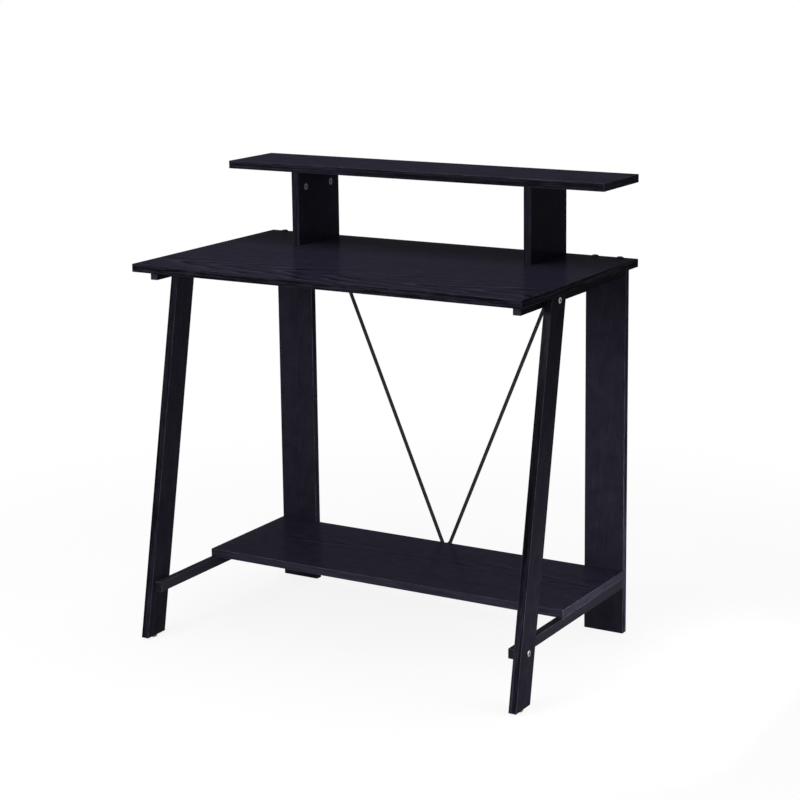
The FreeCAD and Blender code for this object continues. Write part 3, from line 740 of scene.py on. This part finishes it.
def crown_painted_shade(place):
    """Painted shade: bright on the head's crown, dark down its flank and in its socket."""
    flank = ramp(maths("ABSOLUTE", normal_axes(place.id_data)["X"]), 0.45, 0.97, 0.2, 1.0)
    out_x = maths("ABSOLUTE", axes_of(place)["X"])
    crown = ramp(out_x, front_leg_high.x + crown_shade_to, front_leg_high.x + crown_lit_from,
                 0.12, 1.0)
    return maths("MULTIPLY", flank, crown)


nickel_plate = plated_metal("nickel_plate", (0.31, 0.29, 0.28), 0.3, 0.35, crown_painted_shade)
bolts = [socket_bolt((side * front_leg_high.x, leg_middle_y(z), z), (side, 0, 0))
         for side in sides for z in rail_mid_zs]
shell_piece("socket_bolts", bolts, nickel_plate, "leg_bolts")
sleeves = [threaded_sleeve((side * rail_high.x, leg_middle_y(z), z), (-side, 0, 0))
           for side in sides for z in rail_mid_zs]
shell_piece("threaded_sleeves", sleeves, zinc_plate, "rail_inserts", loop=True)


# Glides: a moulded brown disc under each front leg, held by a nail with its head sunk in the
# disc's face, so that the cut foot doesn't stand on the floor.
def moulded_plastic(name, colour, rough, gloss):
    """Moulded plastic: a fine even texture with slow changes of sheen."""
    plastic, tree, place = new_finish(name)
    cloud = noise(place, 180.0)
    fine = noise(place, 4500.0, detail=1.0)
    set_surface(tree, fine, 0.3, 0.03 * mm,
                {"Base Color": blend("RGBA", cloud, shade(colour, 0.8), shade(colour, 1.2)),
                 "Roughness": maths("MULTIPLY_ADD", cloud, 0.2, rough - 0.1),
                 "Specular IOR Level": gloss})
    return plastic


def nailed_glide(seat):
    """Turned outline from the nail's head in the foot face, round the disc, to the nail's point."""
    radius = [0.5, 1.6, 1.75, 1.9, 2.1, 5.7, 6.1, 6.85, 7.0, 7.0, 6.8, 1.3, 1.0, 1.0, 0.9, 0.1]
    height = [0.55, 0.5, 0.4, 0.35, 0.0, 0.0, 0.1, 0.95, 1.2, 3.8, 4.0, 4.0, 4.3, 14.0, 14.6, 16.0]
    return aimed(round_shell(np.array(radius) * mm, np.array(height) * mm, 48), seat, up)


glide_brown = moulded_plastic("glide_brown", (0.29, 0.145, 0.10), 0.42, 0.3)
glide_height = 4.0 * mm
foot_mid_x, foot_mid_y = middle_of(front_leg_low, front_leg_high)[0], leg_middle_y(glide_height)
glides = [nailed_glide((side * foot_mid_x, foot_mid_y, 0.0)) for side in sides]
shell_piece("nailed_glides", glides, glide_brown, "front_glides")


# Upper rails and desktop: the top is the largest board, foiled and edge-banded, its grain from left
# to right with an arched figure near the front. Screws hold it to the rails and the rear legs.
# Painted shade: the upper rails' long faces are darkened for the top that overhangs them, and their cut
# ends lightened.
for rail_name in ("upper_rail_left", "upper_rail_right"):
    finish_rail(rail_name, 0.4, 1.7)
top_low, top_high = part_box("desktop")
# Painted light and shade: the top's level, and its band's and ends', are set for the light on them.
finish_node("desktop", foil_board("desktop_foil", "X", top_low, top_high, (0.55, -0.165, 0.672),
                                  tilt=-0.075, ring=10.0, brightness=0.93, streak=0.16, figure=0.72,
                                  fine=0.35, band=0.62, end=0.7, blue=1.12, mottle=1.0, arris_highlight_and_wear=0.4))
top_screw_seats = screw_rows(rail_mid_x, upper_low.z + head_sink, upper_low, upper_high, (0.12, 0.8))
screws_piece("top_rail_screws", top_screw_seats, up, rail_screw_length, "upper_rail_screws")
leg_screw_length, leg_screw_inset, cap_sink = 50.0 * mm, 15.0 * mm, 4.7 * mm
leg_screw_xs = (rear_low.x + leg_screw_inset, rear_high.x - leg_screw_inset)
leg_screw_seats = [(side * x, rear_mid_y, top_high.z - cap_sink) for side in sides for x in leg_screw_xs]
screws_piece("leg_top_screws", leg_screw_seats, down, leg_screw_length, "rear_leg_screws")


# Screw caps: low domes of black moulded plastic, pressed by a stub into the counterbores over the
# rear legs' screws.
def domed_cap(seat):
    """Turned outline: stub, flat underside, short rim, and a dome with a small gate mark on top."""
    radius = [1.0, 3.3, 3.6, 3.7, 3.7, 6.2, 6.5, 6.5, 6.3, 5.7, 4.8, 3.6, 2.2, 0.9, 0.6, 0.3]
    height = [-1.5, -1.5, -1.35, -1.2, 0.0, 0.0, 0.15, 0.9, 1.45, 2.02, 2.45, 2.78, 2.94, 3.0, 2.96, 2.88]
    return aimed(round_shell(np.array(radius) * mm, np.array(height) * mm, 56), seat, up)


cap_black = moulded_plastic("cap_black", (0.013, 0.012, 0.016), 0.45, 0.03)
caps = [domed_cap((side * x, rear_mid_y, top_high.z)) for side in sides for x in leg_screw_xs]
shell_piece("domed_caps", caps, cap_black, "screw_caps")


# Brace rods: two 7 mm steel rods in black powder coat, their ends pressed flat. The lower tabs are
# screwed to the shelf's back edge, the upper ones are bent level and screwed under the top.
def powder_coat(name, colour):
    """Black powder coat: fine orange peel, duller patches."""
    coat, tree, place = new_finish(name)
    cloud = noise(place, 40.0, detail=3.0)
    peel = noise(place, 1100.0, detail=1.0)
    set_surface(tree, peel, 0.25, 0.05 * mm,
                {"Base Color": blend("RGBA", cloud, shade(colour, 0.7), shade(colour, 1.3)),
                 "Roughness": maths("MULTIPLY_ADD", cloud, 0.15, 0.3),
                 "Specular IOR Level": 0.0, "Coat Weight": 0.03, "Coat Roughness": 0.3})
    return coat


rod_black = powder_coat("rod_black", (0.022, 0.021, 0.028))
rod_radius, tab_half_width, tab_half_thick = 3.5 * mm, 5.0 * mm, 1.5 * mm
rod_gap, foot_x, bend_x, head_tab_reach = 0.3 * mm, 6.0 * mm, 0.252, 12.0 * mm
rod_y = rear_low.y + rod_gap + rod_radius
# How far the bend reaches before and after its corner, and where the tabs' pressing fades: on the
# foot from and to these distances from its screw, at the head before the bend's start.
bend_before, bend_after = 9.0 * mm, 6.0 * mm
foot_fade, head_fade = (4.0 * mm, 10.0 * mm), (11.0 * mm, 1.0 * mm)


def pressed_rod(side):
    """A rod carried along its bent centre line, its section a superellipse that turns flat at the ends.

    The line is straight from the foot, bends over a short arc of three control points, and ends
    level. Half-widths go from the rod's radius to the tab's by smooth steps, and close in a half
    circle at each end. Stations are close at the tabs and the bend, and wide between them."""
    foot = np.array([side * foot_x, 0.0, shelf_mid_z])
    bend = np.array([side * bend_x, 0.0, top_low.z - tab_half_thick])
    way = (bend - foot) / np.linalg.norm(bend - foot)
    level_way = np.array([float(side), 0.0, 0.0])
    arc_start, arc_end = bend - way * bend_before, bend + level_way * bend_after
    reach = np.linalg.norm(arc_start - foot)
    step, close_to, wide_from, wide_to, close_from = (size * mm for size in (0.5, 24.0, 28.0, 16.0, 14.0))
    run = np.concatenate([np.linspace(-0.98 * tab_half_width, -step, 12), np.linspace(step, close_to, 32),
                          np.linspace(wide_from, reach - wide_to, 60),
                          np.linspace(reach - close_from, reach, 18)])
    straight = foot + run[:, None] * way
    share = np.linspace(0.0, 1.0, 16)[1:, None]
    arc = (1 - share) ** 2 * arc_start + 2 * share * (1 - share) * bend + share ** 2 * arc_end
    tab_middle = head_tab_reach - bend_after
    tail = np.concatenate([np.linspace(step, tab_middle, 8),
                           tab_middle + np.linspace(0.06, 0.98, 12) * tab_half_width])
    line = np.concatenate([straight, arc, arc_end + tail[:, None] * level_way])
    travel = np.concatenate([[0.0], np.cumsum(np.linalg.norm(np.diff(line, axis=0), axis=1))]) + run[0]
    total = travel[-1] + 0.02 * tab_half_width
    flat_foot = 1.0 - step_up(travel, *foot_fade)
    flat_head = step_up(travel, reach - head_fade[0], reach - head_fade[1])
    wider, thinner = tab_half_width - rod_radius, tab_half_thick - rod_radius
    near_foot = np.clip(-travel / tab_half_width, 0.0, 0.98)
    near_head = np.clip((travel - total + tab_half_width) / tab_half_width, 0.0, 0.98)
    wide = (rod_radius + wider * flat_foot + thinner * flat_head) * np.sqrt(1.0 - near_foot ** 2)
    deep = (rod_radius + thinner * flat_foot + wider * flat_head) * np.sqrt(1.0 - near_head ** 2)
    tangent = np.gradient(line, axis=0)
    tangent /= np.linalg.norm(tangent, axis=1)[:, None]
    deep_way = np.array([0.0, 1.0, 0.0])
    wide_way = np.cross(tangent, deep_way)
    line[:, 1] = rod_y - (rod_radius + rod_gap - tab_half_thick) * flat_foot
    turn = full_turn(32)[None, :]
    power = (2.0 / (2.0 + 3.0 * np.maximum(flat_foot, flat_head)))[:, None]
    deep_share, wide_share = (np.sign(wave) * np.abs(wave) ** power
                              for wave in (np.cos(turn), np.sin(turn)))
    return (line[:, None, :] + (deep_share * deep[:, None])[..., None] * deep_way
            + (wide_share * wide[:, None])[..., None] * wide_way[:, None, :])


for side_name, side in (("left", -1), ("right", 1)):
    shell_piece("pressed_rod_" + side_name, [pressed_rod(side)], rod_black,
                "brace_rod_" + side_name, crease=60.0)
tab_screw_sizes = (3.5 * mm, 2.2 * mm, 1.75 * mm)
foot_screw_length, head_screw_length = 20.0 * mm, 13.0 * mm
tab_thick, head_x = 2 * tab_half_thick, bend_x + head_tab_reach
tab_screws = []
for side in sides:
    foot_seat = (side * foot_x, shelf_high.y + tab_thick, shelf_mid_z)
    head_seat = (side * head_x, rod_y, top_low.z - tab_thick)
    tab_screws.append(wood_screw(foot_seat, forward, foot_screw_length, *tab_screw_sizes))
    tab_screws.append(wood_screw(head_seat, up, head_screw_length, *tab_screw_sizes))
shell_piece("tab_screws", tab_screws, rod_black, "brace_screws")


# Riser uprights: two short foiled boards with the grain upright, drawn to the monitor shelf by
# cams and held to the desktop by screws from below, with a wooden dowel at each end.
# Painted light: each upright takes a light level of its own.
for upright_name, pith_y, upright_painted_light in (("riser_upright_left", 0.11, 1.3),
                                           ("riser_upright_right", 0.2, 1.05)):
    low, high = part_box(upright_name)
    finish_node(upright_name, foil_board(upright_name + "_foil", "Z_side", low, high,
                                         (0.6, pith_y, -0.3), ring=7.0, brightness=upright_painted_light, band=0.85,
                                         blue=1.15, streak=0.1, figure=0.1, fine=0.3, mottle=0.35))
upright_low, upright_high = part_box("riser_upright_right")
upright_mid_x, upright_mid_y, _ = middle_of(upright_low, upright_high)
riser_screw_seats = screw_rows(upright_mid_x, top_low.z + head_sink, upright_low, upright_high,
                               (0.25, 0.75))
screws_piece("riser_foot_screws", riser_screw_seats, up, long_screw, "riser_screws")


def fluted_dowel(side, z):
    """Beech dowel from height z up: twenty flutes pressed in its side, and chamfered ends.

    A flute's depth follows the square of the positive half of a cosine wave round the dowel."""
    around, flutes, flute_depth = 80, 20.0, 0.22 * mm
    radius = np.array([3.1, 3.9, 4.0, 4.0, 3.9, 3.1]) * mm
    height = np.array([0.0, 1.0, 1.4, 28.6, 29.0, 30.0]) * mm
    flute = flute_depth * np.clip(np.cos(flutes * full_turn(around)), 0.0, 1.0) ** 2
    return (round_shell(radius[:, None] - flute[None, :], z + height, around)
            + np.array([side * upright_mid_x, upright_mid_y, 0.0]))


def bare_beech():
    """Unpainted beech: pale, with short dark flecks along the grain."""
    beech, tree, place = new_finish("bare_beech")
    fleck = noise(place, (900.0, 900.0, 60.0))
    pale, dark = (0.66, 0.46, 0.29, 1.0), (0.50, 0.31, 0.18, 1.0)
    set_surface(tree, fleck, 0.3, 0.05 * mm,
                {"Base Color": blend("RGBA", ramp(fleck, 0.35, 0.7), pale, dark),
                 "Roughness": maths("MULTIPLY_ADD", fleck, 0.2, 0.5)})
    return beech


dowel_in_upright, dowel_past_upright = 20.0 * mm, 10.0 * mm
dowel_feet = (upright_high.z - dowel_in_upright, upright_low.z - dowel_past_upright)
shell_piece("fluted_dowels", [fluted_dowel(side, z) for side in sides for z in dowel_feet],
            bare_beech(), "riser_dowels", crease=50.0)


# Cams and their bolts: zinc castings let into the uprights' inner faces, with a cross recess, a
# raised rim and a small arrow notch; each grips the neck of a bolt that hangs from the shelf.
cam_radius, cam_depth, cam_drop, cam_inset = 7.5 * mm, 12.5 * mm, 30.0 * mm, 28.0 * mm
face_drop, arrow_depth, arrow_half_width = 0.5 * mm, 0.7 * mm, 0.9 * mm
cross_length, cross_width, cross_depth = 8.0 * mm, 2.0 * mm, 2.2 * mm
rim_rounding, mouth_depth, arrow_from, arrow_full = 0.25 * mm, 4.2 * mm, 5.0 * mm, 5.6 * mm
# A cam's face has painted shade: bright to the first radius and dark from the second, and so is
# its cross recess by depth. The cam bolt's thread: its start, end, core and crest radius, pitch,
# and point.
face_lit_radius, face_shade_radius, recess_lit_depth, recess_shade_depth = 4.4 * mm, 6.4 * mm, 0.7 * mm, 1.5 * mm
cam_bolt_thread = (0.2 * mm, 10.5 * mm, 2.2 * mm, 3.0 * mm, 2.0 * mm, 1.5 * mm)
cam_ys = (upright_low.y + cam_inset, upright_high.y - cam_inset)


def cast_cam(side, y):
    """Disc with a rimmed face: rings run from the face's middle out over the rim and down the side.

    The face drops inside the rim, by the cross recess, and by a notch towards the bolt; the side
    has a mouth there that takes the bolt's head."""
    around = 96
    turn = full_turn(around)
    share = np.concatenate([np.linspace(0.03, 0.84, 30), [0.87, 0.9, 0.97, 0.995, 1.0]])[:, None]
    x, y_own = share * cam_radius * np.cos(turn), share * cam_radius * np.sin(turn)
    sunk = face_drop * (1.0 - step_up(share, 0.84, 0.89)) + 0.0 * x
    arrow = (arrow_depth * (1.0 - step_up(np.abs(x), 0.0, arrow_half_width))
             * step_up(y_own, arrow_from, arrow_full))
    recess = cross_recess(x, y_own, cross_length, cross_width, cross_depth)
    carved = np.maximum(np.maximum(sunk, arrow), recess) + rim_rounding * step_up(share, 0.96, 1.0)
    face = round_shell(share * np.full((1, around), cam_radius), cam_depth - carved, around)
    drop = np.array([0.8, 1.3, 1.5, 8.4, 8.7, 12.2, 12.5]) * mm
    mouth = np.exp(-((turn - math.pi / 2) / 0.5) ** 8)[None, :] * np.array([0, 0, 1, 1, 0, 0, 0])[:, None]
    wall = round_shell(cam_radius - mouth_depth * mouth, cam_depth - drop, around)
    inward, upward = np.array([-float(side), 0.0, 0.0]), np.array([0.0, 0.0, 1.0])
    basis = np.stack([np.cross(upward, inward), upward, inward])
    seat = np.array([side * (upright_low.x + cam_depth), y, upright_high.z - cam_drop])
    return np.concatenate([face, wall])[:, ::-1] @ basis + seat


def cam_dowel_bolt(side, y):
    """Turned outline: thread up into the shelf, collar, plain body, neck and round head."""
    around = 36
    radius = np.array([1.2, 3.2, 3.5, 3.5, 3.2, 2.3, 2.3, 3.4, 3.5, 3.5, 2.6]) * mm
    height = np.array([-30.0, -30.0, -29.6, -27.3, -27.0, -26.7, -22.3, -22.0, -21.7, -0.4, 0.0]) * mm
    body = round_shell(radius, height, around)
    thread = thread_rings(*cam_bolt_thread, around)
    return np.concatenate([body, thread]) + np.array([side * upright_mid_x, y, upright_high.z])


def cam_face_painted_shade(place):
    """Painted shade: bright in the middle of a cam's face, dark round its rim and in its cross recess."""
    x, y, z = axes_of(place)
    off_mid = maths("ABSOLUTE", maths("SUBTRACT", y, upright_mid_y))
    off_y = maths("SUBTRACT", off_mid, upright_high.y - upright_mid_y - cam_inset)
    off_z = maths("SUBTRACT", z, upright_high.z - cam_drop)
    face = ramp(distance(off_y, off_z), face_lit_radius, face_shade_radius, 1.0, 0.15)
    depth = maths("SUBTRACT", maths("ABSOLUTE", x), upright_low.x)
    return maths("MULTIPLY", face, ramp(depth, recess_lit_depth, recess_shade_depth, 1.0, 0.1))


dull_casting = plated_metal("dull_casting", (0.13, 0.15, 0.20), 0.5, 0.55, cam_face_painted_shade)
cams = [cast_cam(side, y) for side in sides for y in cam_ys]
shell_piece("cast_cams", cams, dull_casting, "cam_locks")
shell_piece("cam_dowel_bolts", [cam_dowel_bolt(side, y) for side in sides for y in cam_ys],
            zinc_plate, "cam_bolts")


# Monitor shelf: a long narrow foiled board over the back of the top, its grain along it and its
# edges banded all round. The cams draw it down on the uprights.
monitor_low, monitor_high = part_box("monitor_shelf")
# Painted light and shade: the monitor shelf's level, and its band's and ends', are set for the light on it.
finish_node("monitor_shelf", foil_board("monitor_shelf_foil", "X", monitor_low, monitor_high,
                                        (0.3, 0.2, 0.83), tilt=0.04, ring=8.0, brightness=0.88, streak=0.2,
                                        figure=0.25, band=0.95, end=1.15, blue=1.15, mottle=0.55, arris_highlight_and_wear=0.7))
